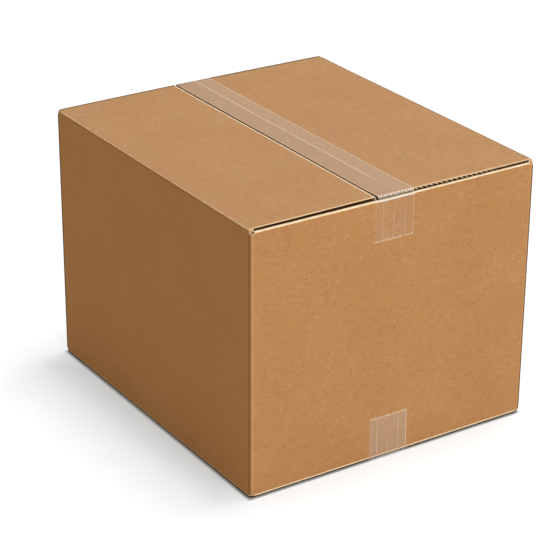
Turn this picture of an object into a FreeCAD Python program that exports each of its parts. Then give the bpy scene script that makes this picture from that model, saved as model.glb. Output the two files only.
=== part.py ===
import FreeCAD, Part

import os

import Sketcher

# A closed shipping carton of single wall corrugated board, taped shut at the top and the bottom.
# The front is the end panel at -Y, the seam runs along Y, and the carton stands on z = 0.
# The carton is one folded sheet, and each strip of tape is one piece of film.

# Each size in millimetres, with what it measures
SIZES = [
    ("box_width", "350", "outside, across X, along the end panels"),
    ("box_length", "400", "outside, along Y, along the side panels"),
    ("box_height", "300", "outside, along Z, over the tape at the top and the bottom"),
    ("board", "3", "thickness of the corrugated board"),
    ("fold_radius", "2", "outer radius of every fold"),
    ("slot_clearance", "0.2", "from the end of a fold's curve to the cut that lies beside it"),
    ("layer_gap", "0.4", "between an outer flap and the inner flap under it"),
    ("left_flap_depth", "148.75", "from the left side panel's face to the free edge of its flaps"),
    ("left_flap_setback", "0.6", "how much further in the left flaps end than the right ones"),
    ("seam_gap", "2.5", "between the free edges of the two outer flaps"),
    ("inner_flap_gap", "50", "between the free edges of the two inner flaps"),
    ("glue_tab_width", "35", "from the back panel's face to the glue tab's free edge"),
    ("glue_tab_relief", "3", "between the glue tab's ends and the inner flaps"),
    ("glue_tab_bevel", "8", "how much each end of the glue tab slopes in"),
    ("flute_pitch", "6.4", "from one flute to the next"),
    ("flute_crest", "1", "width of the flat crest of a flute"),
    ("liner", "0.45", "thickness of each facing paper"),
    ("medium", "0.4", "thickness of the wavy paper at a crest"),
    ("flute_margin", "2.5", "uncut board between the last flute and a fold or a free edge"),
    ("tape_width", "48", "across the strip of tape"),
    ("tape_thickness", "0.08", "thickness of the film with its glue"),
    ("tape_lap", "1.5", "how far the tape reaches over the left flap"),
    ("tape_tab", "50", "from the top or the bottom to the tape's cut end"),
    ("tooth_pitch", "4", "from one tooth of the tape's cut end to the next"),
    ("tooth_depth", "2", "height of a tooth"),
    ("tooth_tip", "0.3", "width of a tooth at its tip"),
]

# Heights, from the floor up
BOARD_TOP = "(sizes.box_height - sizes.tape_thickness)"
BOARD_BOTTOM = "sizes.tape_thickness"
END_TOP = f"({BOARD_TOP} - sizes.board - sizes.layer_gap)"
END_BOTTOM = f"({BOARD_BOTTOM} + sizes.board + sizes.layer_gap)"
SLOT_TOP = f"({END_TOP} - sizes.fold_radius - sizes.slot_clearance)"
SLOT_BOTTOM = f"({END_BOTTOM} + sizes.fold_radius + sizes.slot_clearance)"

# Places across the carton, along X
SIDE_FACE = "(sizes.box_width / 2)"
SIDE_INSIDE = f"({SIDE_FACE} - sizes.board)"
INNER_FLAP_SIDE = f"({SIDE_INSIDE} - sizes.fold_radius - sizes.slot_clearance)"
LEFT_FLAP_EDGE = f"(sizes.left_flap_depth - {SIDE_FACE})"
RIGHT_FLAP_EDGE = f"({LEFT_FLAP_EDGE} + sizes.seam_gap)"
TAPE_LEFT = f"({LEFT_FLAP_EDGE} - sizes.tape_lap)"

# Places along the carton, along Y
END_FACE = "(sizes.box_length / 2)"
END_INSIDE = f"({END_FACE} - sizes.board)"
RIGHT_FLAP_END = f"({END_FACE} - sizes.fold_radius - sizes.slot_clearance)"
LEFT_FLAP_END = f"({RIGHT_FLAP_END} - sizes.left_flap_setback)"
GLUE_TAB_END = f"({END_FACE} - sizes.glue_tab_width)"
INNER_FLAP_EDGE = "(sizes.inner_flap_gap / 2)"

# Two places or volumes closer than this are taken as the same
SAME = 1e-6

doc = FreeCAD.newDocument("carton")


def make_sheet():
    """The sheet that holds every size, one row each"""
    sheet = doc.addObject("Spreadsheet::Sheet", "sizes")
    for row, (name, number, meaning) in enumerate(SIZES, start=1):
        sheet.set(f"A{row}", number)
        sheet.setAlias(f"A{row}", name)
        sheet.set(f"B{row}", meaning)
    doc.recompute()
    return sheet


def size(text):
    """The number that an expression on the sheet gives"""
    return float(sheet.evalExpression(text))


def opposite(text):
    """The same place on the other side of the carton"""
    return f"(-{text})"


def new_body(name):
    """A sub-part whose label is its name"""
    body = doc.addObject("PartDesign::Body", name)
    body.Label = name
    body.Placement = FreeCAD.Placement()
    return body


def new_sketch(body, name, plane, height=None):
    """A sketch on one of the body's origin planes, lifted off it where a height is given"""
    sketch = body.newObject("Sketcher::SketchObject", name)
    planes = {feature.Role: feature for feature in body.Origin.OriginFeatures}
    sketch.AttachmentSupport = (planes[plane], [""])
    sketch.MapMode = "FlatFace"
    if height is not None:
        sketch.setExpression("AttachmentOffset.Base.z", height)
    doc.recompute()
    return sketch


def draw_outline(sketch, corners):
    """A closed outline of straight lines, each corner held by two expressions on the sheet"""
    first = sketch.GeometryCount
    points = [FreeCAD.Vector(size(across), size(along), 0) for across, along in corners]
    for start, end in zip(points, points[1:] + points[:1]):
        sketch.addGeometry(Part.LineSegment(start, end), False)
    for index in range(len(points)):
        following = (index + 1) % len(points)
        sketch.addConstraint(Sketcher.Constraint("Coincident", first + index, 2, first + following, 1))
    for index, corner in enumerate(corners):
        for kind, text in zip(("DistanceX", "DistanceY"), corner):
            rule = Sketcher.Constraint(kind, -1, 1, first + index, 1, size(text))
            number = sketch.addConstraint(rule)
            sketch.setExpression(f"Constraints[{number}]", text)


def rectangle(left, bottom, right, top):
    """The four corners of a rectangle"""
    return [(left, bottom), (right, bottom), (right, top), (left, top)]


def add_pad(body, name, sketch, length, symmetric):
    """Board or film built up from a sketch"""
    pad = body.newObject("PartDesign::Pad", name)
    pad.Profile = sketch
    pad.SideType = "Symmetric" if symmetric else "One side"
    pad.setExpression("Length", length)
    doc.recompute()
    return pad


def add_pocket(body, name, sketch, length):
    """A cut that runs equally far to both sides of its sketch"""
    before = body.Shape.Volume
    pocket = body.newObject("PartDesign::Pocket", name)
    pocket.Profile = sketch
    pocket.SideType = "Symmetric"
    pocket.setExpression("Length", length)
    doc.recompute()
    check_cut(body, before, name)
    return pocket


def add_row(body, name, cut, step, count):
    """A row of the same cut along X"""
    before = body.Shape.Volume
    row = body.newObject("PartDesign::LinearPattern", name)
    row.Originals = [cut]
    axes = {feature.Role: feature for feature in body.Origin.OriginFeatures}
    row.Direction = (axes["X_Axis"], [""])
    row.Mode = "Spacing"
    row.setExpression("Offset", step)
    row.setExpression("Occurrences", count)
    body.Tip = row
    doc.recompute()
    if size(count) > 1:
        check_cut(body, before, name)
    return row


def check_cut(body, before, name):
    """Stops the run when a cut has taken nothing away"""
    if not body.Shape.Volume < before - SAME:
        raise RuntimeError(f"{name} cut nothing")


def add_walls(body):
    """The four panels between the slots, as a ring, cut open along the glued back right corner"""
    sketch = new_sketch(body, "walls_sketch", "XY_Plane", SLOT_BOTTOM)
    draw_outline(sketch, rectangle(opposite(SIDE_FACE), opposite(END_FACE), SIDE_FACE, END_FACE))
    draw_outline(sketch, rectangle(opposite(SIDE_INSIDE), opposite(END_INSIDE), SIDE_INSIDE, END_INSIDE))
    add_pad(body, "walls", sketch, f"{SLOT_TOP} - {SLOT_BOTTOM}", symmetric=False)
    joint = new_sketch(body, "joint_sketch", "XY_Plane")
    past_side = f"({SIDE_FACE} + sizes.board)"
    past_end = f"({END_FACE} + sizes.board)"
    draw_outline(joint, rectangle(SIDE_INSIDE, RIGHT_FLAP_END, past_side, past_end))
    add_pocket(body, "joint", joint, "2 * sizes.box_height")


def add_glue_tab(body):
    """The tab that folds off the back panel and is glued to the inside of the right side panel"""
    sketch = new_sketch(body, "glue_tab_sketch", "YZ_Plane", f"{SIDE_INSIDE} - sizes.board")
    low = f"({END_BOTTOM} + sizes.board + sizes.glue_tab_relief)"
    high = f"({END_TOP} - sizes.board - sizes.glue_tab_relief)"
    draw_outline(sketch, [
        (END_INSIDE, low),
        (END_INSIDE, high),
        (GLUE_TAB_END, f"({high} - sizes.glue_tab_bevel)"),
        (GLUE_TAB_END, f"({low} + sizes.glue_tab_bevel)"),
    ])
    add_pad(body, "glue_tab", sketch, "sizes.board", symmetric=False)


def folded_strip(face, inside, free_edge, bottom, top):
    """The section of a panel with a flap folded in at its bottom and at its top"""
    return [
        (face, bottom),
        (face, top),
        (free_edge, top),
        (free_edge, f"({top} - sizes.board)"),
        (inside, f"({top} - sizes.board)"),
        (inside, f"({bottom} + sizes.board)"),
        (free_edge, f"({bottom} + sizes.board)"),
        (free_edge, bottom),
    ]


def add_flaps(body):
    """The panels' ends beyond the slots, with the inner flaps at the ends and the outer ones at the sides"""
    left = new_sketch(body, "left_flaps_sketch", "XZ_Plane")
    draw_outline(left, folded_strip(
        opposite(SIDE_FACE), opposite(SIDE_INSIDE), LEFT_FLAP_EDGE, BOARD_BOTTOM, BOARD_TOP))
    add_pad(body, "left_flaps", left, f"2 * {LEFT_FLAP_END}", symmetric=True)
    right = new_sketch(body, "right_flaps_sketch", "XZ_Plane")
    draw_outline(right, folded_strip(SIDE_FACE, SIDE_INSIDE, RIGHT_FLAP_EDGE, BOARD_BOTTOM, BOARD_TOP))
    add_pad(body, "right_flaps", right, f"2 * {RIGHT_FLAP_END}", symmetric=True)
    inner = new_sketch(body, "inner_flaps_sketch", "YZ_Plane")
    draw_outline(inner, folded_strip(
        opposite(END_FACE), opposite(END_INSIDE), opposite(INNER_FLAP_EDGE), END_BOTTOM, END_TOP))
    draw_outline(inner, folded_strip(END_FACE, END_INSIDE, INNER_FLAP_EDGE, END_BOTTOM, END_TOP))
    add_pad(body, "inner_flaps", inner, f"2 * {INNER_FLAP_SIDE}", symmetric=True)


def fold_lines():
    """Where the sheet's outer folds run: the direction of each fold, and the two places that fix it"""
    side, side_inside, end = size(SIDE_FACE), size(SIDE_INSIDE), size(END_FACE)
    lines = [("z", -side, -end), ("z", side, -end), ("z", -side, end), ("z", side_inside, end)]
    for height in (size(BOARD_BOTTOM), size(BOARD_TOP)):
        lines += [("y", -side, height), ("y", side, height)]
    for height in (size(END_BOTTOM), size(END_TOP)):
        lines += [("x", -end, height), ("x", end, height)]
    return lines


def is_on_fold(edge, fold):
    """Whether a straight edge lies on a fold line"""
    direction, first, second = fold
    places = {"x": ("y", "z"), "y": ("x", "z"), "z": ("x", "y")}[direction]
    for vertex in edge.Vertexes:
        off_first = abs(getattr(vertex.Point, places[0]) - first)
        off_second = abs(getattr(vertex.Point, places[1]) - second)
        if off_first > SAME or off_second > SAME:
            return False
    return True


def round_folds(body):
    """The outer curve of every fold of the sheet"""
    base = body.Tip
    lines = fold_lines()
    names = []
    for number, edge in enumerate(base.Shape.Edges, start=1):
        if any(is_on_fold(edge, fold) for fold in lines):
            names.append(f"Edge{number}")
    fillet = body.newObject("PartDesign::Fillet", "folds")
    fillet.Base = (base, names)
    fillet.setExpression("Radius", "sizes.fold_radius")
    doc.recompute()


def add_flutes(body, name, start, reach, bottom):
    """The flutes of one outer flap, open at its cut ends: one wide below and one wide above, in a row"""
    sketch = new_sketch(body, f"{name}_sketch", "XZ_Plane")
    half_pitch = "sizes.flute_pitch / 2"
    half_crest = "sizes.flute_crest / 2"
    wide = f"({half_pitch} - {half_crest})"
    low = f"({bottom} + sizes.liner)"
    high = f"({bottom} + sizes.board - sizes.liner)"
    draw_outline(sketch, [
        (start, low),
        (f"{start} + 2 * {wide}", low),
        (f"{start} + {wide} + {half_crest}", f"{high} - sizes.medium"),
        (f"{start} + {wide} - {half_crest}", f"{high} - sizes.medium"),
    ])
    middle = f"{start} + {wide} + {half_pitch}"
    draw_outline(sketch, [
        (f"{middle} - {wide}", high),
        (f"{middle} + {wide}", high),
        (f"{middle} + {half_crest}", f"{low} + sizes.medium"),
        (f"{middle} - {half_crest}", f"{low} + sizes.medium"),
    ])
    cut = add_pocket(body, name, sketch, "sizes.box_length")
    count = f"max(1; floor(({reach} - {wide} - {half_pitch}) / sizes.flute_pitch))"
    add_row(body, f"{name}_row", cut, "sizes.flute_pitch", count)


def make_carton():
    """The folded sheet: panels, glue tab, flaps, folds and flutes"""
    body = new_body("carton")
    add_walls(body)
    add_glue_tab(body)
    add_flaps(body)
    round_folds(body)
    left_start = f"({opposite(SIDE_INSIDE)} + sizes.flute_margin)"
    left_reach = f"({LEFT_FLAP_EDGE} - sizes.flute_margin - {left_start})"
    right_start = f"({RIGHT_FLAP_EDGE} + sizes.flute_margin)"
    right_reach = f"({SIDE_INSIDE} - sizes.flute_margin - {right_start})"
    for level, bottom in (("top", f"({BOARD_TOP} - sizes.board)"), ("bottom", BOARD_BOTTOM)):
        add_flutes(body, f"{level}_left_flutes", left_start, left_reach, bottom)
        add_flutes(body, f"{level}_right_flutes", right_start, right_reach, bottom)
    return body


def make_tape(name, height):
    """A strip of tape along a seam, bridging each flap's cut end, with a tab on each end panel"""
    body = new_body(name)
    profile = new_sketch(body, f"{name}_profile", "YZ_Plane", TAPE_LEFT)
    tab_end = f"({BOARD_TOP} - sizes.tape_tab)"
    leaves_panel = f"({END_TOP} - sizes.fold_radius / 2)"
    outside = f"({END_FACE} + sizes.tape_thickness)"
    corner = f"({RIGHT_FLAP_END} + sizes.tape_thickness)"
    inner_side = [(END_FACE, tab_end), (END_FACE, leaves_panel), (RIGHT_FLAP_END, BOARD_TOP)]
    outer_side = [(outside, tab_end), (outside, leaves_panel), (corner, "sizes.box_height")]
    inner = inner_side + [(opposite(along), up) for along, up in reversed(inner_side)]
    outer = outer_side + [(opposite(along), up) for along, up in reversed(outer_side)]
    draw_outline(profile, [(along, height(up)) for along, up in inner + outer[::-1]])
    add_pad(body, f"{name}_strip", profile, "sizes.tape_width", symmetric=False)
    teeth = new_sketch(body, f"{name}_tooth", "XZ_Plane")
    start = f"({TAPE_LEFT} + sizes.tooth_tip / 2)"
    end = f"({start} + sizes.tooth_pitch - sizes.tooth_tip)"
    below = f"({tab_end} - sizes.tape_thickness)"
    draw_outline(teeth, [
        (start, height(below)),
        (end, height(below)),
        (end, height(tab_end)),
        (f"({start} + {end}) / 2", height(f"({tab_end} + sizes.tooth_depth)")),
        (start, height(tab_end)),
    ])
    gap = add_pocket(body, f"{name}_gap", teeth, "2 * sizes.box_length")
    count = "max(1; floor(sizes.tape_width / sizes.tooth_pitch))"
    add_row(body, f"{name}_teeth", gap, "sizes.tooth_pitch", count)
    return body


def upright(text):
    """A height as it is given"""
    return text


def turned_over(text):
    """The same height measured down from the top, for the strip under the carton"""
    return f"(sizes.box_height - {text})"


def check(bodies):
    """Stops the run when a feature has failed or a sub-part isn't one sound solid"""
    for item in doc.Objects:
        if "Invalid" in item.State or "Error" in item.State:
            raise RuntimeError(f"{item.Name} failed: {item.State}")
    for body in bodies:
        if body.Shape.isNull() or not body.Shape.isValid():
            raise RuntimeError(f"{body.Label} has no sound shape")
        if len(body.Shape.Solids) != 1:
            raise RuntimeError(f"{body.Label} is {len(body.Shape.Solids)} solids")
        box = body.Shape.BoundBox
        print(body.Label, "volume", round(body.Shape.Volume, 1), "faces", len(body.Shape.Faces))
        print("  from", [round(v, 3) for v in (box.XMin, box.YMin, box.ZMin)],
              "to", [round(v, 3) for v in (box.XMax, box.YMax, box.ZMax)])


sheet = make_sheet()
carton = make_carton()
top_tape = make_tape("top_tape", upright)
bottom_tape = make_tape("bottom_tape", turned_over)
doc.recompute()
parts = [carton, top_tape, bottom_tape]
check(parts)
os.makedirs("parts", exist_ok=True)
for part in parts:
    part.Shape.exportStep(f"parts/{part.Label}.step")
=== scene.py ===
import math

import bmesh
import bpy
import numpy as np
from mathutils import Matrix, Vector


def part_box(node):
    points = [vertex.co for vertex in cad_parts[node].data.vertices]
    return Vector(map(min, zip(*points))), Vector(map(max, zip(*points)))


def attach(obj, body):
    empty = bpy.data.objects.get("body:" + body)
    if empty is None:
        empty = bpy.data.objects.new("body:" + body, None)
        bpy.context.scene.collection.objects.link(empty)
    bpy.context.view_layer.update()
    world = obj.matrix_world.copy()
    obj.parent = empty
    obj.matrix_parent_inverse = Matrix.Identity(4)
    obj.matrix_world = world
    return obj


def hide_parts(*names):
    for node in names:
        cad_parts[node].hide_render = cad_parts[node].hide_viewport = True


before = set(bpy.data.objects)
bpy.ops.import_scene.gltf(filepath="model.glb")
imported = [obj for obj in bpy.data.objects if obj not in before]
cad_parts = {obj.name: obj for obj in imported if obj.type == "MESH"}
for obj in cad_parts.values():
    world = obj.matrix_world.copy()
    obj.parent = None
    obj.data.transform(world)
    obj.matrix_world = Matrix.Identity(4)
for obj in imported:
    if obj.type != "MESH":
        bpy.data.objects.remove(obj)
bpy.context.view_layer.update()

# A taped shipping carton of corrugated board, in metres. The front is the end panel at -Y.
MM = 0.001

# The carton as the frame gives it
CARTON_LOW, CARTON_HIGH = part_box("carton")
TAPE_LOW, TAPE_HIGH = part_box("top_tape")
SIDE = CARTON_HIGH.x
END = CARTON_HIGH.y
TOP = CARTON_HIGH.z
BOTTOM = CARTON_LOW.z
MIDDLE = (TOP + BOTTOM) / 2

# The board, its folds and its slots
BOARD = 3 * MM
FOLD_RADIUS = 2 * MM
SLOT_CLEARANCE = 0.2 * MM
LAYER_GAP = 0.4 * MM
SEAM_GAP = 2.5 * MM
LEFT_FLAP_DEPTH = 148.75 * MM
INNER_FLAP_GAP = 50 * MM
GLUE_TAB_WIDTH = 35 * MM
GLUE_TAB_BEVEL = 8 * MM
GLUE_LINE = 0.1 * MM
LINER = 0.45 * MM
MEDIUM = 0.7 * MM
FLUTE_PITCH = 6.4 * MM

# Places that follow from them
SLOT = FOLD_RADIUS + SLOT_CLEARANCE
RIGHT_FLAP_END = END - SLOT
LEFT_FLAP_END = RIGHT_FLAP_END - 0.6 * MM
LEFT_FLAP_EDGE = LEFT_FLAP_DEPTH - SIDE
RIGHT_FLAP_EDGE = LEFT_FLAP_EDGE + SEAM_GAP
SEAM = LEFT_FLAP_EDGE + SEAM_GAP / 2
OUTER_FOLD = TOP - MIDDLE
INNER_FOLD = OUTER_FOLD - BOARD - LAYER_GAP
RING_END = INNER_FOLD - SLOT
FLUTED_START = 5 * MM
FLUTED_DEPTH = 12 * MM
CRUSHED_LENGTH = 45 * MM
LEFT_RECESS = 9 * MM
RIGHT_RECESS = 0.2 * MM

# How the board has settled since it was folded
CORNER_SINK = 0.9 * MM
SINK_CURVE = 1.6
UNDERSIDE_SINK_SHARE = 0.4
END_FOLD_SINK = 0.4 * MM
END_CORNER_SINK = 0.3 * MM
END_CORNER_REACH = 110 * MM
BOTTOM_CRUSH = 1.1 * MM
PANEL_HOLLOW = 0.9 * MM
LID_DIP = 0.25 * MM
CRUSHED_SHARE = 0.5

# Where the settling sets in or fades out: the height, or the place across, that it starts and ends at
LID_ZONE = (OUTER_FOLD - 14 * MM, OUTER_FOLD - 2 * MM)
END_FOLD_ZONE = (INNER_FOLD - 25 * MM, INNER_FOLD - 1 * MM)
END_CORNER_ZONE = (SIDE - END_CORNER_REACH, SIDE)
LOW_FACE_ZONE = (END - 16 * MM, END - 5 * MM)
SIDE_FACE_ZONE = (SIDE - 7 * MM, SIDE - 6 * MM)
END_FACE_ZONE = (END - 7 * MM, END - 6 * MM)
DIP_FADE = (0.6 * END, END)
HOLLOW_FADE_UP = (RING_END - 60 * MM, RING_END)
HOLLOW_FADE_ON_SIDE = (END - 70 * MM, END)
HOLLOW_FADE_ON_END = (SIDE - 60 * MM, SIDE)

# The waves in the lid, in the two kinds of panel and in torn paper: radians a metre, and for a panel the
# rate along it, a shift, the rate up it and the slant
LID_WAVES = (9, 31)
SIDE_WAVES = (11, 1.3, 17, 5)
END_WAVES = (12, 0.6, 15, 4)
TORN_WAVES = (900, 2300)
TORN_DEPTH = 0.12 * MM
INNER_LINER_RECESS = 0.8

# How finely the meshes are divided, and how near two places count as one
FOLD_STEPS = 6
FOLD_ROWS = FOLD_STEPS + 1
FLAP_ROWS = 20
FLUTE_STEPS = 14
PANEL_STEP = 8 * MM
CUT_STEP = 3 * MM
TAPE_STEP = 6 * MM
BRIDGE_SHARES = (0.2, 0.4, 0.6, 0.8)
NEARLY = 1e-6

# The tape
TAPE_LEFT = TAPE_LOW.x
TAPE_RIGHT = TAPE_HIGH.x
TAPE_TAB = 50 * MM
FILM_LIFT = 0.02 * MM
FILM = 0.05 * MM
TOOTH_DEPTH = 2 * MM
TEETH = 12
TOOTH_PITCH = (TAPE_RIGHT - TAPE_LEFT) / TEETH
COLUMNS_A_TOOTH = 4

# The camera, as the photograph's corners give it
CAMERA_PLACE = Vector((-1.1491, -1.7379, 1.0874))
CAMERA_AZIMUTH = -33.17
CAMERA_ELEVATION = 24.71
CAMERA_ROLL = 0.36
SENSOR = 36.0
FOCAL_PIXELS = 2070.4
PICTURE_PIXELS = 555
VIEW_REACH = 100.0

# Each knocked corner: its place, how far it was pushed in, and how far the dent spreads
CORNER_KNOCKS = [
    ((SIDE, -END, BOTTOM), 1.0 * MM, 8 * MM),
    ((-SIDE, -END, BOTTOM), 0.5 * MM, 8 * MM),
    ((SIDE, -END, TOP), 0.7 * MM, 9 * MM),
    ((-SIDE, END, TOP), 0.5 * MM, 8 * MM),
    ((-SIDE, END, BOTTOM), 0.5 * MM, 8 * MM),
    ((SIDE, END, TOP), 0.6 * MM, 9 * MM),
]


def ease(value, start, end):
    """0 up to start, 1 from end on, and a smooth step between"""
    share = np.clip((value - start) / (end - start), 0, 1)
    return share * share * (3 - 2 * share)


def ripple(along, up, rate, shift, rise, slant):
    """Slow waves over a panel, between 0 and 1"""
    return 0.5 + 0.3 * np.sin(rate * along + shift) + 0.2 * np.sin(rise * up + slant * along)


def settle(points, end_share):
    """Moves points of the folded carton to where the board has settled.
    end_share is 1 on the end panels and their flaps, and 0 on the sides and the outer flaps."""
    moved = points.copy()
    x, y, z = points.T
    reach = np.where(x < SEAM, SIDE + SEAM, SIDE - SEAM)
    from_seam = np.abs(x - SEAM) / reach
    height = np.abs(z - MIDDLE)
    upward = np.sign(z - MIDDLE)
    near_lid = ease(height, *LID_ZONE)
    near_end_fold = ease(height, *END_FOLD_ZONE)
    mid_end = 1 - ease(np.abs(x), *END_CORNER_ZONE)
    end_sink = END_CORNER_SINK + (END_FOLD_SINK - END_CORNER_SINK) * mid_end
    end_sink = np.where(upward > 0, end_sink, -BOTTOM_CRUSH * ease(np.abs(y), *LOW_FACE_ZONE))
    flap_sink = CORNER_SINK * from_seam ** SINK_CURVE * np.where(upward > 0, 1, UNDERSIDE_SINK_SHARE)
    sink = (1 - end_share) * near_lid * flap_sink + end_share * near_end_fold * end_sink
    swell = 1 + np.sin(LID_WAVES[0] * y + LID_WAVES[1] * x)
    dip = LID_DIP * near_lid * swell * (1 - ease(np.abs(y), *DIP_FADE))
    moved[:, 2] -= upward * (sink + (1 - end_share) * dip)
    inside_ring = 1 - ease(height, *HOLLOW_FADE_UP)
    on_side = ease(np.abs(x), *SIDE_FACE_ZONE) * (1 - ease(np.abs(y), *HOLLOW_FADE_ON_SIDE))
    on_end = ease(np.abs(y), *END_FACE_ZONE) * (1 - ease(np.abs(x), *HOLLOW_FADE_ON_END))
    moved[:, 0] -= np.sign(x) * on_side * inside_ring * PANEL_HOLLOW * ripple(y, z, *SIDE_WAVES)
    moved[:, 1] -= np.sign(y) * on_end * inside_ring * PANEL_HOLLOW * ripple(x, z, *END_WAVES)
    for corner, depth, spread in CORNER_KNOCKS:
        away = np.linalg.norm(points - np.array(corner), axis=1)
        push = depth * (1 - ease(away, 0, spread))
        inward = np.array((0, 0, MIDDLE)) - np.array(corner)
        moved += push[:, None] * inward / np.linalg.norm(inward)
    return moved


def spaced(start, end, step):
    """Places from start to end, evenly spaced by about a step"""
    count = max(1, round(abs(end - start) / step))
    return list(np.linspace(start, end, count + 1))


def panel_columns(start, end, inward, flap, slot_before, slot_after):
    """The columns of one panel, from the end of one corner's curve to the start of the next.
    Each column is a place on the outer face, the way inward, and whether a flap hangs there."""
    start, end = np.array(start), np.array(end)
    length = np.linalg.norm(end - start)
    along = (end - start) / length
    first, last = slot_before, length - slot_after
    places = [0.0] + spaced(first, first + FLUTED_DEPTH, CUT_STEP)[:-1]
    places += spaced(first + FLUTED_DEPTH, last - FLUTED_DEPTH, PANEL_STEP)
    places += spaced(last - FLUTED_DEPTH, last, CUT_STEP)[1:] + [length]
    columns = []
    for place in places:
        in_flap = first - NEARLY <= place <= last + NEARLY
        from_cut = min(place - first, last - place)
        columns.append({
            "outside": start + along * place,
            "inside": start + along * place + np.array(inward) * BOARD,
            "inward": np.array(inward),
            "flap": flap if in_flap else None,
            "from_cut": from_cut,
            "end_share": 1.0 if flap["is_inner"] else 0.0,
        })
    return columns


def corner_columns(centre, inside, start_angle):
    """The columns round a vertical fold, without its first and last, which the panels have"""
    columns = []
    for step in range(1, FOLD_STEPS):
        angle = math.radians(start_angle + 90 * step / FOLD_STEPS)
        way = np.array((math.cos(angle), math.sin(angle)))
        columns.append({
            "outside": np.array(centre) + FOLD_RADIUS * way,
            "inside": np.array(inside),
            "inward": -way,
            "flap": None,
            "from_cut": -1.0,
            "end_share": 0.5,
        })
    return columns


LEFT_FLAP = {"depth": LEFT_FLAP_DEPTH, "fold": OUTER_FOLD, "is_inner": False}
RIGHT_FLAP = {"depth": SIDE - RIGHT_FLAP_EDGE, "fold": OUTER_FOLD, "is_inner": False}
INNER_FLAP = {"depth": END - INNER_FLAP_GAP / 2, "fold": INNER_FOLD, "is_inner": True}


def blank_columns():
    """All columns of the blank, from the glue tab round to the right panel's cut edge"""
    bend = FOLD_RADIUS
    inner = BOARD
    side_cut = SLOT - bend
    end_cut = BOARD + SLOT - bend
    columns = []
    tab_x = SIDE - BOARD - GLUE_LINE
    for place in spaced(END - GLUE_TAB_WIDTH, END - BOARD - 1 * MM, PANEL_STEP):
        columns.append({
            "outside": np.array((tab_x, place)),
            "inside": np.array((tab_x - BOARD, place)),
            "inward": np.array((-1.0, 0.0)),
            "flap": None,
            "from_cut": -1.0,
            "end_share": 0.0,
            "tab": (END - BOARD - place) / (GLUE_TAB_WIDTH - BOARD),
        })
    columns += corner_columns((tab_x - bend, END - bend), (tab_x - inner, END - inner), 0)
    columns += panel_columns(
        (tab_x - bend, END), (-SIDE + bend, END), (0, -1), INNER_FLAP, SLOT - GLUE_LINE - bend, end_cut)
    columns += corner_columns((-SIDE + bend, END - bend), (-SIDE + inner, END - inner), 90)
    columns += panel_columns(
        (-SIDE, END - bend), (-SIDE, -END + bend), (1, 0), LEFT_FLAP,
        END - LEFT_FLAP_END - bend, END - LEFT_FLAP_END - bend)
    columns += corner_columns((-SIDE + bend, -END + bend), (-SIDE + inner, -END + inner), 180)
    columns += panel_columns((-SIDE + bend, -END), (SIDE - bend, -END), (0, 1), INNER_FLAP, end_cut, end_cut)
    columns += corner_columns((SIDE - bend, -END + bend), (SIDE - inner, -END + inner), 270)
    columns += panel_columns((SIDE, -END + bend), (SIDE, RIGHT_FLAP_END), (-1, 0), RIGHT_FLAP, side_cut, 0)
    return columns


def flap_rows(flap):
    """The rows of a flap beyond the ring: how far in and how high each lies, outside and inside"""
    fold = flap["fold"]
    outer = [(0.0, fold - FOLD_RADIUS)]
    for step in range(1, FOLD_STEPS + 1):
        angle = math.pi / 2 * step / FOLD_STEPS
        outer.append((FOLD_RADIUS * (1 - math.cos(angle)), fold - FOLD_RADIUS * (1 - math.sin(angle))))
    inner = [(BOARD, min(height, fold - BOARD)) for _, height in outer]
    for depth in [FLUTED_START] + spaced(FLUTED_START, flap["depth"], flap["depth"] / FLAP_ROWS)[1:]:
        outer.append((depth, fold))
        inner.append((depth, fold - BOARD))
    return outer, inner


# The carton's materials, by their place in its list
KRAFT_FACE, CUT_EDGE, FLUTES, WAVE_EDGE = range(4)


def make_sheet_mesh():
    """The folded blank: a grid on its outer face, one on its inner face, and its cut edges between them"""
    columns = blank_columns()
    ring = spaced(-RING_END, RING_END, PANEL_STEP)
    beyond = len(flap_rows(LEFT_FLAP)[0])
    row_count = len(ring) + 2 * beyond
    shape = (len(columns), row_count, 3)
    outer, inner = np.full(shape, np.nan), np.full(shape, np.nan)
    shares = np.zeros(shape[:2])
    for i, column in enumerate(columns):
        shares[i, :] = column["end_share"]
        for j, height in enumerate(ring):
            reach = height
            if "tab" in column:
                shorter = 2 * BOARD + GLUE_TAB_BEVEL * column["tab"]
                reach = height * (RING_END - shorter) / RING_END
            outer[i, beyond + j] = (*column["outside"], MIDDLE + reach)
            inner[i, beyond + j] = (*column["inside"], MIDDLE + reach)
        if column["flap"] is None:
            continue
        outside, inside = flap_rows(column["flap"])
        for k in range(beyond):
            for side, j in ((1, beyond + len(ring) + k), (-1, beyond - 1 - k)):
                for grid, (depth, height) in ((outer, outside[k]), (inner, inside[k])):
                    place = column["outside"] + column["inward"] * depth
                    grid[i, j] = (*place, MIDDLE + side * height)
    exists = np.zeros((shape[0] - 1, shape[1] - 1), bool)
    for i in range(shape[0] - 1):
        here, after = columns[i], columns[i + 1]
        for j in range(shape[1] - 1):
            corners = outer[i:i + 2, j:j + 2]
            if np.isnan(corners).any():
                continue
            past_ring = max(beyond - 1 - j, j - (beyond + len(ring)) + 1)
            is_outer = here["flap"] is not None and not here["flap"]["is_inner"]
            near_cut = min(here["from_cut"], after["from_cut"]) < FLUTED_DEPTH - NEARLY
            exists[i, j] = not (is_outer and near_cut and past_ring > FOLD_ROWS)
    return build_shell(outer, inner, shares, exists)


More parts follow.
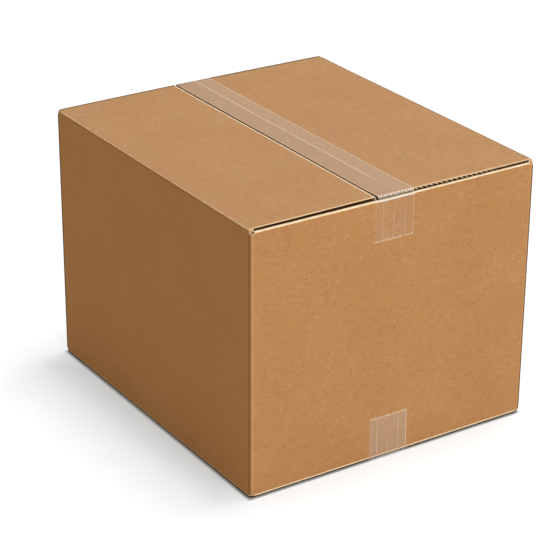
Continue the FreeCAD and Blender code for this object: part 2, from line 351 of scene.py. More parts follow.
def build_shell(outer, inner, shares, exists):
    """A closed mesh from two matching grids and the cells that exist, with cut edges where a cell has no
    neighbour. Each vertex also gets its share of the end panels' settling."""
    across, up = exists.shape
    vertices, end_shares, number = [], [], {}

    def vertex(layer, i, j):
        if (layer, i, j) not in number:
            number[(layer, i, j)] = len(vertices)
            vertices.append((outer, inner)[layer][i, j])
            end_shares.append(shares[i, j])
        return number[(layer, i, j)]

    faces, kinds = [], []
    for i in range(across):
        for j in range(up):
            if not exists[i, j]:
                continue
            loop = [(i, j), (i, j + 1), (i + 1, j + 1), (i + 1, j)]
            faces.append([vertex(0, *corner) for corner in loop])
            faces.append([vertex(1, *corner) for corner in reversed(loop)])
            kinds += [KRAFT_FACE, KRAFT_FACE]
            beside = [(i - 1, j), (i, j + 1), (i + 1, j), (i, j - 1)]
            for (near, far), (bi, bj) in zip(zip(loop, loop[1:] + loop[:1]), beside):
                inside_grid = 0 <= bi < across and 0 <= bj < up
                if inside_grid and exists[bi, bj]:
                    continue
                faces.append([vertex(0, *far), vertex(0, *near), vertex(1, *near), vertex(1, *far)])
                kinds.append(CUT_EDGE)
    return np.array(vertices), np.array(end_shares), faces, kinds


def slab(xs, at_cut, at_back, y_cut, y_back, outside, cut):
    """A thin strip along a flap's cut end, from its upper and lower surface at the cut and at the back.
    It's given the materials of its outside and of its cut edge; the rest is the flutes' paper."""
    vertices, faces, kinds = [], [], []
    for x, high, low, back_high, back_low, y in zip(xs, *at_cut, *at_back, y_cut):
        vertices += [(x, y, high), (x, y_back, back_high), (x, y_back, back_low), (x, y, low)]
    for step in range(len(xs) - 1):
        a, b = 4 * step, 4 * step + 4
        for first, second, kind in ((0, 1, outside), (1, 2, FLUTES), (2, 3, FLUTES), (3, 0, cut)):
            faces.append([a + first, a + second, b + second, b + first])
            kinds.append(kind)
    faces += [[0, 3, 2, 1], [4 * len(xs) - 4, 4 * len(xs) - 3, 4 * len(xs) - 2, 4 * len(xs) - 1]]
    kinds += [FLUTES, FLUTES]
    return np.array(vertices), faces, kinds


def fluted_end(start, edge, flap_end, end_side, level_side, recess):
    """The cut end of an outer flap: two liners with the wavy medium between them, thin near its fold.
    The recess is how far in the medium and the inner liner were cut back, or torn."""
    xs = np.array(spaced(start, edge, FLUTE_PITCH / FLUTE_STEPS))
    from_fold = np.abs(xs - start)
    thick = CRUSHED_SHARE + (1 - CRUSHED_SHARE) * ease(from_fold, 0, CRUSHED_LENGTH)
    squash = 1.0 if level_side > 0 else (BOARD - BOTTOM_CRUSH) / BOARD
    ragged = TORN_DEPTH * np.abs(np.sin(TORN_WAVES[0] * xs) * np.sin(TORN_WAVES[1] * xs + 1))
    wave = 0.5 + 0.5 * np.cos(2 * math.pi * xs / FLUTE_PITCH)
    crest = LINER + (BOARD - 2 * LINER - MEDIUM) * wave
    y_back = end_side * (flap_end - FLUTED_DEPTH)
    layers = [
        (np.zeros_like(xs), LINER, ragged, KRAFT_FACE, CUT_EDGE),
        (crest, MEDIUM, recess + 2 * ragged, FLUTES, WAVE_EDGE),
        (np.full_like(xs, BOARD - LINER), LINER, INNER_LINER_RECESS * recess + ragged, FLUTES, FLUTES),
    ]
    pieces = []
    for down, thickness, cut_back, outside, cut in layers:
        drops = (down, down + thickness)
        at_cut = [MIDDLE + level_side * (OUTER_FOLD - drop * squash * thick) for drop in drops]
        at_back = [MIDDLE + level_side * (OUTER_FOLD - drop) for drop in drops]
        y_cut = end_side * (flap_end - cut_back)
        pieces.append(slab(xs, at_cut, at_back, y_cut, y_back, outside, cut))
    return pieces


def joined(pieces):
    """Several lots of vertices, faces and kinds as one"""
    vertices, faces, kinds, offset = [], [], [], 0
    for more, loops, sorts in pieces:
        vertices.append(more)
        faces += [[offset + index for index in loop] for loop in loops]
        kinds += sorts
        offset += len(more)
    return np.concatenate(vertices), faces, kinds


def make_object(name, vertices, faces, kinds, materials, sharp_angle):
    """An object from points, faces and each face's material, with edges sharp beyond an angle in degrees"""
    mesh = bpy.data.meshes.new(name)
    mesh.from_pydata([tuple(point) for point in vertices], [], faces)
    for material in materials:
        mesh.materials.append(material)
    mesh.polygons.foreach_set("material_index", kinds)
    work = bmesh.new()
    work.from_mesh(mesh)
    bmesh.ops.remove_doubles(work, verts=work.verts, dist=NEARLY)
    bmesh.ops.dissolve_degenerate(work, edges=work.edges, dist=NEARLY / 10)
    bmesh.ops.recalc_face_normals(work, faces=work.faces)
    work.to_mesh(mesh)
    work.free()
    mesh.polygons.foreach_set("use_smooth", [True] * len(mesh.polygons))
    mesh.set_sharp_from_angle(angle=math.radians(sharp_angle))
    piece = bpy.data.objects.new(name, mesh)
    bpy.context.scene.collection.objects.link(piece)
    return piece


def make_carton(materials):
    """The settled carton: the folded sheet with the fluted cut ends of its outer flaps"""
    vertices, shares, faces, kinds = make_sheet_mesh()
    parts = [(settle(vertices, shares), faces, kinds)]
    ends = []
    for level_side in (1, -1):
        for end_side in (1, -1):
            ends += fluted_end(
                -SIDE + FLUTED_START, LEFT_FLAP_EDGE, LEFT_FLAP_END, end_side, level_side, LEFT_RECESS)
            ends += fluted_end(
                SIDE - FLUTED_START, RIGHT_FLAP_EDGE, RIGHT_FLAP_END, end_side, level_side, RIGHT_RECESS)
    for vertices, faces, kinds in ends:
        parts.append((settle(vertices, np.zeros(len(vertices))), faces, kinds))
    return make_object("carton_board", *joined(parts), materials, sharp_angle=35)


def tape_path():
    """Where the tape lies, from the front tab's end to the back tab's end.
    Each entry is a place along Y, a height, and how much of it follows the end panel."""
    leaves_panel = INNER_FOLD - FOLD_RADIUS / 2
    tab_end = OUTER_FOLD - TAPE_TAB
    up_panel = [(-END, height, 1.0) for height in spaced(tab_end, leaves_panel, CUT_STEP)]
    bridge = []
    for share in BRIDGE_SHARES:
        place = -END + share * (END - RIGHT_FLAP_END)
        bridge.append((place, leaves_panel + share * (OUTER_FOLD - leaves_panel), 1 - share))
    over = [(place, OUTER_FOLD, 0.0) for place in spaced(-RIGHT_FLAP_END, RIGHT_FLAP_END, TAPE_STEP)]
    down = [(-place, height, share) for place, height, share in reversed(up_panel + bridge)]
    return up_panel + bridge + over + down


def make_tape(name, level_side, material):
    """A strip of film laid along a seam, with toothed ends"""
    path = tape_path()
    count = TEETH * COLUMNS_A_TOOTH
    xs = np.linspace(TAPE_LEFT, TAPE_RIGHT, count + 1)
    tooth = np.abs((np.arange(count + 1) % COLUMNS_A_TOOTH) - COLUMNS_A_TOOTH / 2) / (COLUMNS_A_TOOTH / 2)
    places = np.array([(place, height) for place, height, _ in path])
    ways = np.gradient(places, axis=0)
    ways /= np.linalg.norm(ways, axis=1)[:, None]
    outward = np.stack([-ways[:, 1], ways[:, 0]], axis=1)
    layers = []
    for lift in (FILM_LIFT + FILM, FILM_LIFT):
        grid = np.zeros((count + 1, len(path), 3))
        for j, (place, height, share) in enumerate(path):
            across, up = places[j] + outward[j] * lift
            grid[:, j] = np.stack([xs, np.full_like(xs, across), np.full_like(xs, up)], axis=1)
        for end in (0, -1):
            grid[:, end, 2] += TOOTH_DEPTH * (1 - tooth)
        grid[:, :, 2] = MIDDLE + level_side * grid[:, :, 2]
        layers.append(grid)
    shares = np.tile([share for _, _, share in path], (count + 1, 1))
    exists = np.ones((count, len(path) - 1), bool)
    vertices, end_shares, faces, kinds = build_shell(layers[0], layers[1], shares, exists)
    vertices = settle(vertices, end_shares)
    return make_object(name, vertices, faces, [0] * len(kinds), [material], sharp_angle=60)


class Wire:
    """An output socket of a material's nodes, which can be reckoned with"""

    def __init__(self, tree, socket=None):
        self.tree = tree
        self.socket = socket

    def node(self, kind, settings, inputs, output=0):
        """A new node: its settings are set first, then the values or links of its sockets"""
        made = self.tree.nodes.new(kind)
        for name, value in settings.items():
            if name == "stops":
                set_stops(made.color_ramp, value)
            else:
                setattr(made, name, value)
        for name, value in inputs.items():
            if isinstance(value, Wire):
                self.tree.links.new(value.socket, made.inputs[name])
            else:
                made.inputs[name].default_value = value
        return Wire(self.tree, made.outputs[output])

    def maths(self, operation, *values):
        return self.node("ShaderNodeMath", {"operation": operation}, dict(enumerate(values)))

    def __add__(self, other):
        return self.maths("ADD", self, other)

    __radd__ = __add__

    def __mul__(self, other):
        return self.maths("MULTIPLY", self, other)

    __rmul__ = __mul__

    def __sub__(self, other):
        return self.maths("SUBTRACT", self, other)

    def __rsub__(self, other):
        return self.maths("SUBTRACT", other, self)

    def size(self):
        """The value without its sign"""
        return self.maths("ABSOLUTE", self)

    def sine(self):
        return self.maths("SINE", self)

    def capped(self):
        """The value, but no more than 1"""
        return self.maths("MINIMUM", self, 1.0)

    def larger(self, other):
        """The larger of this value and another"""
        return self.maths("MAXIMUM", self, other)

    def step(self, start, end):
        """0 up to start, 1 from end on, and a smooth step between"""
        settings = {"interpolation_type": "SMOOTHSTEP"}
        return self.node("ShaderNodeMapRange", settings, {"Value": self, "From Min": start, "From Max": end})

    def band(self, middle, half, soft):
        """1 within half of the middle, and 0 beyond that and the soft edge"""
        return 1 - (self - middle).size().step(half, half + soft)


def set_stops(ramp, stops):
    """The places and colours of a ramp"""
    while len(ramp.elements) < len(stops):
        ramp.elements.new(1)
    for element, (place, colour) in zip(ramp.elements, stops):
        element.position = place
        element.color = (*colour, 1)


def mix(share, first, second):
    """A colour between two colours, each a wire or three numbers"""
    ends = [colour if isinstance(colour, Wire) else (*colour, 1) for colour in (first, second)]
    return share.node("ShaderNodeMix", {"data_type": "RGBA"}, {0: share, 6: ends[0], 7: ends[1]}, 2)


def painted(colour, layers):
    """A colour with others laid over it in turn, each given as its share and the colour itself"""
    for share, tint in layers:
        colour = mix(share, colour, tint)
    return colour


def new_material(name):
    """A material with its surface shader, and a wire to start from"""
    material = bpy.data.materials.new(name)
    material.use_nodes = True
    tree = material.node_tree
    shader = tree.nodes["Principled BSDF"]
    return material, shader, Wire(tree)


def feed(shader, name, wire):
    """Links a wire to a socket of the surface shader"""
    wire.tree.links.new(wire.socket, shader.inputs[name])


def finish(shader, gloss, roughness=None):
    """How much a surface mirrors, and how rough it is where that doesn't vary"""
    shader.inputs["Specular IOR Level"].default_value = gloss
    if roughness is not None:
        shader.inputs["Roughness"].default_value = roughness


def places(start):
    """The place on the object, and its three coordinates, in metres"""
    place = start.node("ShaderNodeTexCoord", {}, {}, "Object")
    parts = [place.node("ShaderNodeSeparateXYZ", {}, {"Vector": place}, axis) for axis in ("X", "Y", "Z")]
    return place, *parts


def noise(place, scale, stretch=(1, 1, 1), detail=2.0, rough=0.5, shift=0.0):
    """Smooth noise about 0.5, with scale features a metre, stretched along the axes"""
    settings = {"vector_type": "POINT"}
    inputs = {"Vector": place, "Scale": stretch, "Location": (shift, 2 * shift, 3 * shift)}
    spread = place.node("ShaderNodeMapping", settings, inputs)
    inputs = {"Vector": spread, "Scale": scale, "Detail": detail, "Roughness": rough}
    return place.node("ShaderNodeTexNoise", {}, inputs)


def bump(height, strength, distance):
    """A normal bent by a height"""
    inputs = {"Height": height, "Strength": strength, "Distance": distance}
    return height.node("ShaderNodeBump", {}, inputs)


def flecks(place, scale, stretch, turn, reach):
    """Stray fibres of many sizes, each 1 where it lies, and a number that differs from fibre to fibre"""
    inputs = {"Vector": place, "Scale": stretch, "Rotation": (turn, turn, turn)}
    inputs["Location"] = (turn, 2 * turn, 3 * turn)
    spread = place.node("ShaderNodeMapping", {"vector_type": "POINT"}, inputs)
    cell = place.node("ShaderNodeTexVoronoi", {}, {"Vector": spread, "Scale": scale})
    colour = Wire(cell.tree, cell.socket.node.outputs["Color"])
    tint, width = (colour.node("ShaderNodeSeparateColor", {}, {0: colour}, part) for part in ("Red", "Green"))
    longest = reach * (0.35 + 0.65 * width)
    return 1 - cell.step(0.6 * longest, longest), tint


# Colours of the board and the tape, as the light would leave them, and the painted shades and highlights laid
# over them
KRAFT = (0.482, 0.240, 0.093)
KRAFT_PALE = (0.570, 0.312, 0.138)
KRAFT_DARK = (0.385, 0.178, 0.064)
KRAFT_WARM = (0.490, 0.232, 0.090)
# Painted shade that darkens the side panels
SIDE_PANEL_SHADE = (0.378, 0.163, 0.036)
# Painted shade beside the folds
FOLD_SHADE = (0.270, 0.112, 0.034)
# Rubbed paper, also used for painted highlights
RUBBED_AND_HIGHLIGHT = (0.860, 0.600, 0.350)
# Torn paper, also used for painted highlights
TORN_AND_HIGHLIGHT = (0.970, 0.780, 0.530)
FIBRE_PALE = (0.690, 0.430, 0.220)
FIBRE_DARK = (0.270, 0.120, 0.045)
# Dust, also standing in as a painted sheen on the lid
DUST_AND_SHEEN = (0.520, 0.430, 0.330)
# Painted shade on the far edges and corners
EDGE_SHADE = (0.110, 0.048, 0.016)
SHADED = (0.120, 0.042, 0.008)
# Painted contact shade along the ground
CONTACT_SHADE = (0.016, 0.009, 0.005)
FLUTE_SHADE = (0.080, 0.025, 0.005)
FILM_HAZE = (0.750, 0.625, 0.470)
FILM_DULL = (0.680, 0.567, 0.435)
# Pale streaks in the film, also used for painted highlights on its edges
FILM_STREAK_AND_HIGHLIGHT = (0.980, 0.780, 0.560)
FILM_GLINT = (1.000, 0.960, 0.900)

# Each lot of stray fibres: how many a metre, how far it is turned, and how much of its cell a fibre fills
FIBRE_LOTS = ((150, 0.5, 0.14), (130, 1.4, 0.12), (230, 2.3, 0.20), (210, 3.7, 0.18))


def kraft_colour(place, specked):
    """Brown kraft paper: faint clouds and fine fibres, with stray fibres where it's specked"""
    cloud = noise(place, 14, detail=2)
    mottle = noise(place, 110, detail=3, shift=0.3)
    fibre = noise(place, 520, stretch=(0.4, 0.4, 1.5), detail=4, rough=0.7, shift=0.7)
    tone = 0.5 + 0.20 * (cloud - 0.5) + 0.16 * (mottle - 0.5) + 0.60 * (fibre - 0.5)
    stops = [(0.25, KRAFT_DARK), (0.5, KRAFT), (0.75, KRAFT_PALE)]
    paper = tone.node("ShaderNodeValToRGB", {"stops": stops}, {0: tone})
    warm = noise(place, 30, detail=1, shift=1.1)
    colour = mix(warm.step(0.45, 0.7) * 0.5, paper, KRAFT_WARM)
    for scale, turn, reach in FIBRE_LOTS:
        lies, tint = flecks(place, scale, (0.55, 0.55, 1.3), turn, reach)
        lies = lies * specked
        colour = mix(lies * tint.step(0.62, 0.70) * 0.68, colour, FIBRE_PALE)
        colour = mix(lies * (1 - tint.step(0.28, 0.36)) * 0.75, colour, FIBRE_DARK)
    return colour


class Paper:
    """A point of the board's outer paper: its place, and what is told from that"""

    def __init__(self, start):
        self.place, self.x, self.y, self.z = places(start)
        self.past_side = self.x.size()
        self.past_end = self.y.size()
        self.height = self.z - MIDDLE
        self.past_level = self.height.size()
        self.side_level = self.past_level + CORNER_SINK + 0.2 * MM
        self.on_lid = self.past_level.step(OUTER_FOLD - 3 * MM, OUTER_FOLD - 2.2 * MM)
        self.on_upper = self.height.step(0, 1 * MM)
        # How strongly each painted highlight and shade shows, uneven from place to place
        self.patchy = noise(self.place, 120, detail=2, shift=4.0).step(0.3, 0.7)


def face_tints(at):
    """Dust on the lid, with a painted pale sheen, and painted shade on the side panels"""
    # Dust on the lid, and also a painted sheen that pales it
    dust_and_sheen = at.on_lid * at.on_upper * (0.75 + 0.25 * noise(at.place, 20, detail=2, shift=5.5).step(0.2, 0.8))
    on_side = at.past_side.step(SIDE - 3 * MM, SIDE - 1.5 * MM) * (1 - at.on_lid)
    # Painted shade: the side panels are made darker
    return [(dust_and_sheen * 0.145, DUST_AND_SHEEN), (on_side * 0.4, SIDE_PANEL_SHADE)]


def dark_by_folds(at):
    """Painted shade beside the side folds and under the lid, and a faint painted highlight at the corners"""
    # Painted shade on the side panels beside the vertical folds
    beside = at.past_side.step(SIDE - 0.9 * MM, SIDE - 0.4 * MM)
    beside = beside * at.past_end.step(END - 5.2 * MM, END - 3.8 * MM)
    # Painted shade just under the lid's side folds
    under_fold = at.past_side.step(SIDE - 0.8 * MM, SIDE - 0.2 * MM) * at.on_upper
    under_fold = under_fold * at.side_level.band(OUTER_FOLD - 2.9 * MM, 0.5 * MM, 0.6 * MM)
    # Faint painted highlight at the corners
    corner = at.past_end.step(END - 0.7 * MM, END - 0.2 * MM)
    corner = corner * at.past_side.step(SIDE - 5 * MM, SIDE - 2.5 * MM)
    # Painted shade under the lid
    under_lid = at.past_level.band(INNER_FOLD - 0.5 * MM, 0.6 * MM, 0.2 * MM)
    under_lid = under_lid * at.past_end.band(END - 8.0 * MM, 4.8 * MM, 0.6 * MM)
    under_lid = under_lid * (1 - at.past_side.step(SIDE - 6 * MM, SIDE - 4 * MM))
    return [
        (beside * 0.6, FOLD_SHADE),
        (under_fold * (0.15 + 0.35 * at.patchy), FOLD_SHADE),
        (corner * (0.08 + 0.08 * at.patchy), RUBBED_AND_HIGHLIGHT),
        (under_lid * 0.85, SHADED),
    ]


def pale_folds(at):
    """Painted highlights on the folds themselves, uneven along them"""
    low_side = at.z.band(3.8 * MM, 0.4 * MM, 0.5 * MM) * at.past_side.step(SIDE - 1 * MM, SIDE - 0.3 * MM)
    side_fold = at.past_side.step(SIDE - 1.5 * MM, SIDE - 0.7 * MM) * at.on_upper
    side_fold = side_fold * at.side_level.step(OUTER_FOLD - 1.7 * MM, OUTER_FOLD - 1.1 * MM)
    mid_end = 1 - at.past_side.step(*END_CORNER_ZONE)
    end_level = at.past_level + END_CORNER_SINK + (END_FOLD_SINK - END_CORNER_SINK) * mid_end
    end_fold = end_level.band(INNER_FOLD - 0.4 * MM, 0.5 * MM, 0.4 * MM) * at.on_upper
    end_fold = end_fold * at.past_end.step(END - 3.2 * MM, END - 2.4 * MM)
    low_fold = at.past_end.step(END - 2.4 * MM, END - 1.2 * MM) * (1 - at.z.step(4.5 * MM, 5.4 * MM))
    # Painted highlights along the low and high side and end folds
    return [
        (low_side * (0.35 + 0.2 * at.patchy), RUBBED_AND_HIGHLIGHT),
        (side_fold * (0.45 + 0.35 * at.patchy), RUBBED_AND_HIGHLIGHT),
        (end_fold * (0.7 + 0.3 * at.patchy), TORN_AND_HIGHLIGHT),
        (low_fold * (0.75 + 0.25 * at.patchy), TORN_AND_HIGHLIGHT),
    ]


def pale_edges(at):
    """Painted highlights along the cut edges of the outer flaps, with some paler rubbed paper there"""
    seam_left = at.on_lid * at.x.band(LEFT_FLAP_EDGE - 0.8 * MM, 0.9 * MM, 0.4 * MM)
    seam_right = at.on_lid * at.x.band(RIGHT_FLAP_EDGE + 0.4 * MM, 0.4 * MM, 0.4 * MM)
    front = at.on_lid * at.past_end.step(LEFT_FLAP_END - 2.4 * MM, LEFT_FLAP_END - 1.4 * MM)
    front = front * (1 - 0.3 * at.x.step(SEAM, SEAM + 1 * MM)) * (1 - at.y.step(0, 1 * MM))
    # Painted highlights along the flaps' cut edges, partly rubbed paper
    return [
        (seam_left * (0.75 + 0.25 * at.patchy), TORN_AND_HIGHLIGHT),
        (seam_right * (0.45 + 0.3 * at.patchy), RUBBED_AND_HIGHLIGHT),
        (front * (0.6 + 0.3 * at.patchy), RUBBED_AND_HIGHLIGHT),
    ]


def edge_and_ground_shade(at):
    """Painted shade on the edges and corners away from the front, and painted contact shade along the ground
    """
    # Painted shade along the far edges and corners
    back_edge = at.on_lid * at.y.step(LEFT_FLAP_END - 3.0 * MM, LEFT_FLAP_END - 2.2 * MM)
    right_edge = at.on_lid * at.x.step(SIDE - 2.8 * MM, SIDE - 2.0 * MM)
    back_corner = at.y.step(END - 4.2 * MM, END - 3.4 * MM)
    back_corner = back_corner * (1 - at.x.step(1.2 * MM - SIDE, 1.8 * MM - SIDE))
    right_corner = at.x.step(SIDE - 3.0 * MM, SIDE - 2.3 * MM)
    right_corner = right_corner * at.past_end.step(END - 1.8 * MM, END - 1.2 * MM)
    far_edge_shade = (back_edge + right_edge + (back_corner + right_corner) * (1 - at.on_lid)).capped()
    # Painted contact shade along the ground
    at_rim = at.past_side.step(SIDE - 4 * MM, SIDE - 2 * MM)
    at_rim = at_rim.larger(at.past_end.step(END - 7 * MM, END - 5 * MM))
    ground_contact_shade = at_rim * (1 - at.z.step(2.8 * MM, 3.4 * MM))
    return [(far_edge_shade * 0.85, EDGE_SHADE), (ground_contact_shade * 0.95, CONTACT_SHADE)]


def make_kraft():
    """The outer paper of the board, with painted highlights, partly rubbed paper, along its folds and cut
    edges, and painted shade beside them
    """
    material, shader, start = new_material("kraft_liner")
    at = Paper(start)
    on_end = at.past_end.step(END - 3 * MM, END - 1.5 * MM)
    marks = face_tints(at) + dark_by_folds(at) + pale_folds(at) + pale_edges(at) + edge_and_ground_shade(at)
    feed(shader, "Base Color", painted(kraft_colour(at.place, 0.25 + 0.75 * on_end), marks))
    feed(shader, "Roughness", 0.74 + 0.14 * noise(at.place, 60, detail=1, shift=5.0))
    grain = noise(at.place, 900, stretch=(0.5, 0.5, 1.4), detail=4, rough=0.7, shift=6.0)
    waves = noise(at.place, 38, stretch=(1, 0.3, 1), detail=1, shift=7.0)
    feed(shader, "Normal", bump(0.7 * grain + 1.0 * waves, 0.35, 0.3 * MM))
    finish(shader, gloss=0.08)
    return material


def make_cut_edge():
    """The board's cut edges: pale papers, with painted shade on the flutes between them by the seam, and
    painted contact shade near the ground
    """
    material, shader, start = new_material("cut_edge")
    place, x, _, z = places(start)
    past_level = (z - MIDDLE).size()
    fuzz = noise(place, 1400, detail=3, shift=1.0)
    paper = mix(fuzz.step(0.3, 0.7), RUBBED_AND_HIGHLIGHT, TORN_AND_HIGHLIGHT)
    within = past_level.band(OUTER_FOLD - BOARD / 2, BOARD / 2 - LINER - 0.2 * MM, 0.3 * MM)
    beside_seam = 1 - (x - SEAM).size().step(SEAM_GAP / 2 + 0.2 * MM, SEAM_GAP / 2 + 0.4 * MM)
    at_corner = x.size().step(SIDE - 4.5 * MM, SIDE - 3.5 * MM)
    low = 1 - z.step(2.4 * MM, 3.4 * MM)
    # Painted shade on the flutes by the seam, and painted contact shade near the ground
    marks = [(within * beside_seam, FLUTE_SHADE), (at_corner * 0.7, KRAFT), (low * 0.93, CONTACT_SHADE)]
    feed(shader, "Base Color", painted(paper, marks))
    feed(shader, "Normal", bump(fuzz, 0.5, 0.2 * MM))
    finish(shader, gloss=0.2, roughness=0.9)
    return material


def make_wave_edge():
    """The wavy medium's cut edge: rising slopes are pale, falling ones in shade, and all of it near a fold"""
    material, shader, start = new_material("wave_edge")
    place, x, _, _ = places(start)
    fuzz = noise(place, 1400, detail=3, shift=1.5)
    paper = mix(fuzz.step(0.3, 0.7), RUBBED_AND_HIGHLIGHT, TORN_AND_HIGHLIGHT)
    slope = (x * (2 * math.pi / FLUTE_PITCH)).sine()
    # Painted shade over the whole wave edge near the folds
    shade_near_fold = x.size().step(SIDE - 80 * MM, SIDE - 45 * MM)
    shade = (slope.step(-0.25, 0.25) * 0.92).larger(shade_near_fold * 0.85)
    feed(shader, "Base Color", mix(shade, paper, FLUTE_SHADE))
    finish(shader, gloss=0.2, roughness=0.9)
    return material


def make_flute_paper():
    """The insides of the flutes, where little light comes"""
    material, shader, start = new_material("flute_medium")
    place, *_ = places(start)
    grain = noise(place, 500, detail=3, shift=2.0)
    colour = mix(grain.step(0.3, 0.7), tuple(0.6 * part for part in FLUTE_SHADE), FLUTE_SHADE)
    feed(shader, "Base Color", colour)
    feed(shader, "Normal", bump(grain, 0.4, 0.2 * MM))
    finish(shader, gloss=0.05, roughness=0.95)
    return material


# Creases in the tape's tabs: how far each lies from the tape's left edge
TAB_CREASES = [10 * MM, 23 * MM, 37 * MM]
MID_CREASE = 0.5 * MM
LIP_DOT_PITCH = 3.6 * MM

# What differs between the top tape, 1, and the bottom tape, -1, and the haze that both have
FILM_HAZE_SHARE = 0.165
TAB_HAZE_SHARE = {1: -0.120, -1: 0.01}
# How much of the painted edge highlight the tabs lose
TAB_EDGE_LOSS = {1: 0.4, -1: 0.0}
FOLD_GLINT = {1: 1.0, -1: 0.25}


def film_glints(place, x, y, height, level_side):
    """Where light catches the film: in dots on the lid's lip, and along the end panel's fold"""
    ridge = y.size().step(END - 4 * MM, END - 3 * MM)
    phase = x * (2 * math.pi / LIP_DOT_PITCH) + 5 * noise(place, 80, detail=1, shift=3.3)
    dots = phase.sine()
    upper_lip = height.band(OUTER_FOLD - 0.35 * MM, 0.35 * MM, 0.3 * MM) * dots.step(-0.2, 0.4)
    lower_lip = height.band(OUTER_FOLD - 1.6 * MM, 0.25 * MM, 0.3 * MM) * (1 - dots.step(-0.6, 0.0))
    fold = y.size().step(END - 1.5 * MM, END - 0.5 * MM)
    fold = fold * height.band(INNER_FOLD - END_FOLD_SINK - 1.0 * MM, 0.4 * MM, 0.5 * MM)
    return (ridge * (upper_lip + 0.6 * lower_lip) + fold * FOLD_GLINT[level_side]).capped()


def make_film(name, level_side):
    """Clear packing tape: a thin haze where it sticks, streaks along it, painted highlights along its edges,
    glints, and a paler toothed end
    """
    material, shader, start = new_material(name)
    material.surface_render_method = "BLENDED"
    place, x, y, z = places(start)
    height = (z - MIDDLE) * level_side
    on_tab = 1 - height.step(OUTER_FOLD - 8 * MM, OUTER_FOLD - 4 * MM)
    on_lid = height.step(OUTER_FOLD - 2.6 * MM, OUTER_FOLD - 1.8 * MM)
    from_cut = height - (OUTER_FOLD - TAPE_TAB)
    from_front = y + END

    # Painted highlights along the tape's edges
    right_edge = x.step(TAPE_RIGHT - 1.3 * MM, TAPE_RIGHT - 0.8 * MM)
    left_edge = 1 - x.step(TAPE_LEFT + 0.5 * MM, TAPE_LEFT + 0.9 * MM)
    edge = right_edge * (0.8 - TAB_EDGE_LOSS[level_side] * on_tab) + left_edge * (0.5 - 0.35 * on_tab)
    mid = x.band(MID_CREASE, 0.3 * MM, 0.4 * MM) * on_lid * from_front.step(25 * MM, 60 * MM)
    breaks = noise(place, 60, stretch=(1.0, 0.2, 0.5), detail=1, shift=0.5 + level_side).step(0.44, 0.56)
    creases = sum((x - TAPE_LEFT).band(crease, 0.25 * MM, 0.35 * MM) for crease in TAB_CREASES)
    creases = creases * on_tab * (0.3 + 0.7 * breaks)
    fine = noise(place, 420, stretch=(1.0, 0.02, 0.03), detail=2, rough=0.6, shift=1.7 * level_side)
    fine = fine.step(0.56, 0.66)
    long = noise(place, 24, stretch=(1.0, 0.5, 0.8), detail=1, shift=1.9).step(0.4, 0.65)
    patch = noise(place, 30, stretch=(1.0, 0.5, 0.5), detail=2, shift=2.1)
    zigzag = x.maths("PINGPONG", x - TAPE_LEFT, TOOTH_PITCH / 2) * (2 * TOOTH_DEPTH / TOOTH_PITCH)
    torn = noise(place, 420, detail=1, shift=2.9).step(0.36, 0.5)
    tooth = (1 - (from_cut - zigzag).step(0.6 * MM, 1.1 * MM)) * (0.3 + 0.7 * torn)

    streaks = (0.10 + 0.10 * on_tab) * fine * long
    white = (streaks + 0.8 * creases + edge + mid + tooth).capped()
    glint = film_glints(place, x, y, height, level_side)
    right_half = x.step(MID_CREASE - 2 * MM, MID_CREASE + 2 * MM)
    film = mix(on_tab.larger(right_half), FILM_DULL, FILM_HAZE)
    haze = FILM_HAZE_SHARE + TAB_HAZE_SHARE[level_side] * on_tab + 0.05 * (patch - 0.5)
    alpha = haze + 0.24 * white + 0.10 * right_edge + 0.15 * mid + 0.42 * tooth + 0.6 * glint
    over_gap = x.band(SEAM, SEAM_GAP / 2 - 0.1 * MM, 0.2 * MM) * (1 - on_tab)
    at_bridge = (1 - on_tab) * (1 - on_lid) * (1 - glint)
    alpha = alpha * (1 - over_gap) * (1 - 0.7 * at_bridge)
    feed(shader, "Base Color", painted(film, [(white, FILM_STREAK_AND_HIGHLIGHT), (glint, FILM_GLINT)]))
    feed(shader, "Alpha", alpha.capped())
    feed(shader, "Roughness", 0.36 + 0.2 * patch)
    feed(shader, "Normal", bump(0.12 * fine + 0.6 * patch + 0.5 * creases, 0.25, 0.1 * MM))
    finish(shader, gloss=0.5)
    return material


# The floor: its colour, its glow to the camera, and where the glow is held back under the carton's edges and
# dimmed beside it, which paints a contact shadow and a deeper shade there, and full past the lamps' light
FLOOR_REACH = 12.0
FLOOR_GREY = (0.79, 0.79, 0.79)
FLOOR_GLOW = 0.42
GLOW_COLOUR = (0.875, 1.0, 1.08)
SIDE_CONTACT = (0.5 * MM, 3.5 * MM)
END_CONTACT = (0.2 * MM, 1.2 * MM)
SHADE_DEPTH = 0.26
SIDE_SHADE = (0, 50 * MM)
END_SHADE = (-60 * MM, 2 * MM)
LAMPLIT_REACH = (0.9, 2.2)

# The lamps and the sky
SKY_STRENGTH = 0.49
SKY_COLOUR = (1.0, 0.95, 0.88)
KEY_LAMP = {"place": (0.72, 0.08, 3.25), "power": 47.3, "size": 1.25}
FRONT_LAMP = {"place": (0.00, -2.60, 0.90), "power": 28.6, "size": 1.6}


def add_light(start, share, plain, glow):
    """A shader, and with it a share of a glow"""
    both = start.node("ShaderNodeAddShader", {}, {0: plain, 1: glow})
    return start.node("ShaderNodeMixShader", {}, {0: share, 1: plain, 2: both})


def seen_plainly(start):
    """1 for what the camera sees, straight or in a gloss or through clear film, and 0 for the light itself"""
    rays = ("Is Camera Ray", "Is Glossy Ray", "Is Transmission Ray")
    camera, glossy, through = (start.node("ShaderNodeLightPath", {}, {}, ray) for ray in rays)
    return camera.larger(glossy.larger(through))


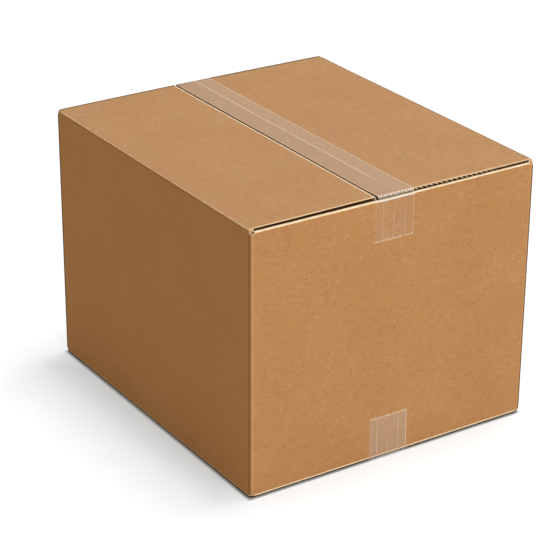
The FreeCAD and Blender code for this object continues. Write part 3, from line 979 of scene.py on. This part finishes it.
def make_floor():
    """A wide pale floor, white to the camera, which keeps the carton's soft shadow, with painted shade near
    the carton
    """
    mesh = bpy.data.meshes.new("studio_floor")
    corners = [(-FLOOR_REACH, -FLOOR_REACH, 0), (FLOOR_REACH, -FLOOR_REACH, 0)]
    corners += [(FLOOR_REACH, FLOOR_REACH, 0), (-FLOOR_REACH, FLOOR_REACH, 0)]
    mesh.from_pydata(corners, [], [(0, 1, 2, 3)])
    floor = bpy.data.objects.new("studio_floor", mesh)
    bpy.context.scene.collection.objects.link(floor)
    material, shader, start = new_material("pale_floor")
    _, x, y, _ = places(start)
    shader.inputs["Base Color"].default_value = (*FLOOR_GREY, 1)
    finish(shader, gloss=0.1, roughness=0.9)
    from_side = x.size() - SIDE
    from_end = y.size() - END
    # Painted contact shadow: no glow right under the carton's edges
    clear = from_side.step(*SIDE_CONTACT).larger(from_end.step(*END_CONTACT))
    # Painted shade: the glow is dimmed beside the carton
    away = from_side.step(*SIDE_SHADE).larger(from_end.step(*END_SHADE))
    past_lamps = x.size().larger(y.size()).step(*LAMPLIT_REACH)
    share = seen_plainly(start) * clear * (1 - SHADE_DEPTH + SHADE_DEPTH * away)
    share = share * (FLOOR_GLOW + (1 - FLOOR_GLOW) * past_lamps)
    glow = start.node("ShaderNodeEmission", {}, {"Color": (*GLOW_COLOUR, 1), "Strength": 1.0})
    lit = add_light(start, share, Wire(start.tree, shader.outputs[0]), glow)
    output = material.node_tree.nodes["Material Output"]
    material.node_tree.links.new(lit.socket, output.inputs["Surface"])
    mesh.materials.append(material)


def aim(thing, target):
    """Turns a lamp to face a point"""
    way = Vector(target) - thing.location
    thing.rotation_euler = way.to_track_quat("-Z", "Y").to_euler()


def hang_lamp(name, setting):
    """A soft square lamp that faces the carton"""
    lamp = bpy.data.lights.new(name, "AREA")
    lamp.shape = "SQUARE"
    lamp.size = setting["size"]
    lamp.energy = setting["power"]
    holder = bpy.data.objects.new(name, lamp)
    holder.location = setting["place"]
    bpy.context.scene.collection.objects.link(holder)
    aim(holder, (0, 0, MIDDLE))


def light_studio():
    """A key lamp above the lid, a little to the right, a low lamp before the end panel, and a pale sky"""
    hang_lamp("key_lamp", KEY_LAMP)
    hang_lamp("front_lamp", FRONT_LAMP)
    world = bpy.data.worlds.new("studio_sky")
    bpy.context.scene.world = world
    world.use_nodes = True
    tree = world.node_tree
    seen = seen_plainly(Wire(tree))
    sky = tree.nodes["Background"]
    tree.links.new((SKY_STRENGTH + (1 - SKY_STRENGTH) * seen).socket, sky.inputs["Strength"])
    tree.links.new(mix(seen, SKY_COLOUR, (1, 1, 1)).socket, sky.inputs["Color"])


def place_camera():
    """The camera where the photograph's corners put it"""
    azimuth, elevation, roll = (math.radians(a) for a in (CAMERA_AZIMUTH, CAMERA_ELEVATION, CAMERA_ROLL))
    level_back = Vector((math.sin(azimuth), -math.cos(azimuth), 0))
    back = math.cos(elevation) * level_back + Vector((0, 0, math.sin(elevation)))
    level = Vector((0, 0, 1)).cross(back).normalized()
    upright = back.cross(level)
    right = math.cos(roll) * level + math.sin(roll) * upright
    up = -math.sin(roll) * level + math.cos(roll) * upright
    camera = bpy.data.cameras.new("photo_camera")
    camera.sensor_fit = "HORIZONTAL"
    camera.sensor_width = SENSOR
    camera.lens = FOCAL_PIXELS / PICTURE_PIXELS * SENSOR
    camera.clip_end = VIEW_REACH
    holder = bpy.data.objects.new("photo_camera", camera)
    turn = Matrix((right, up, back)).transposed().to_4x4()
    holder.matrix_world = Matrix.Translation(CAMERA_PLACE) @ turn
    bpy.context.scene.collection.objects.link(holder)
    bpy.context.scene.camera = holder


carton = make_carton([make_kraft(), make_cut_edge(), make_flute_paper(), make_wave_edge()])
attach(carton, "root")
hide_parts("carton")
for name, level_side in (("top_tape", 1), ("bottom_tape", -1)):
    tape = make_tape(f"{name}_film", level_side, make_film(f"{name}_clear", level_side))
    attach(tape, "root")
    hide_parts(name)

make_floor()
light_studio()
place_camera()
bpy.context.scene.view_settings.view_transform = "Standard"
